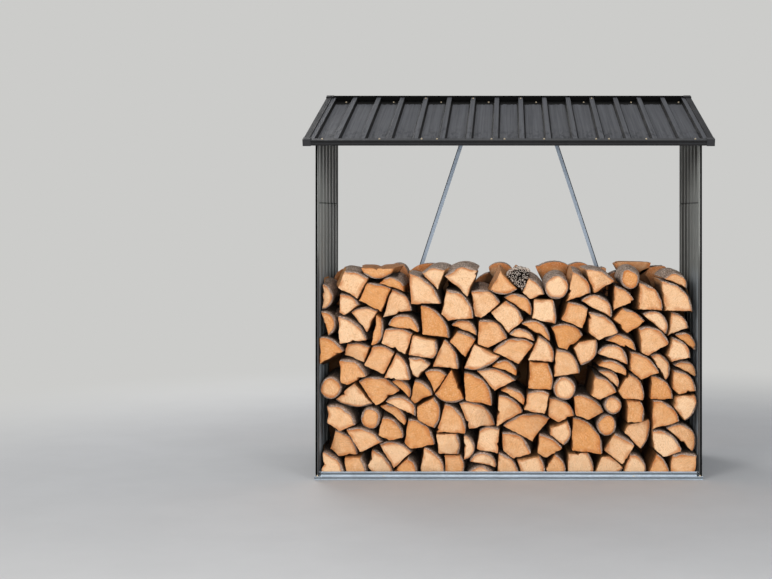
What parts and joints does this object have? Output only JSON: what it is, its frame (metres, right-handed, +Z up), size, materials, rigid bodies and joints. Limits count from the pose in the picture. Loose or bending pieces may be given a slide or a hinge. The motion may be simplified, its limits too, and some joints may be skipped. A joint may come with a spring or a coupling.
{
  "type": "log store",
  "caption": "Metal log store open at front and back, with ribbed side walls, a single-pitch ribbed roof, a folded base frame, rear braces and two rows of stacked split logs.",
  "frame": {"origin": "on the ground under the middle of the roof", "axes": "+Z up, +X to the right seen from the low open front, +Y to the high open back"},
  "size_m": [2.003, 0.9524, 1.9545],
  "materials": {
    "roof_paint": "satin",
    "trim_paint": "satin",
    "black_paint": "satin",
    "wall_paint": "satin",
    "corner_cap": "matte",
    "galvanised": "galvanised",
    "firewood": "rough split and sawn"
  },
  "bodies": {
    "root": {"base_rail_front": "galvanised", "base_rail_left": "galvanised", "base_rail_rear": "galvanised", "base_rail_right": "galvanised", "brace_left": "galvanised", "brace_right": "galvanised", "log_layer_01": "firewood", "log_layer_02": "firewood", "log_layer_03": "firewood", "log_layer_04": "firewood", "log_layer_05": "firewood", "log_layer_06": "firewood", "log_layer_07": "firewood", "log_layer_08": "firewood", "log_layer_09": "firewood", "log_layer_10": "firewood", "log_layer_11": "firewood", "post_front_left": "black_paint", "post_front_right": "black_paint", "post_rear_left": "black_paint", "post_rear_right": "black_paint", "roof_beam_front": "galvanised", "roof_beam_rear": "galvanised", "roof_cap_front_left": "corner_cap", "roof_cap_front_right": "corner_cap", "roof_cap_rear_left": "corner_cap", "roof_cap_rear_right": "corner_cap", "roof_sheet_left": "roof_paint", "roof_sheet_middle": "roof_paint", "roof_sheet_right": "roof_paint", "roof_trim_front": "trim_paint", "roof_trim_left": "trim_paint", "roof_trim_rear": "black_paint", "roof_trim_right": "trim_paint", "wall_panel_lower_left": "wall_paint", "wall_panel_lower_right": "wall_paint", "wall_panel_upper_left": "wall_paint", "wall_panel_upper_right": "wall_paint", "wall_top_rail_left": "black_paint", "wall_top_rail_right": "black_paint"}
  },
  "joints": []
}
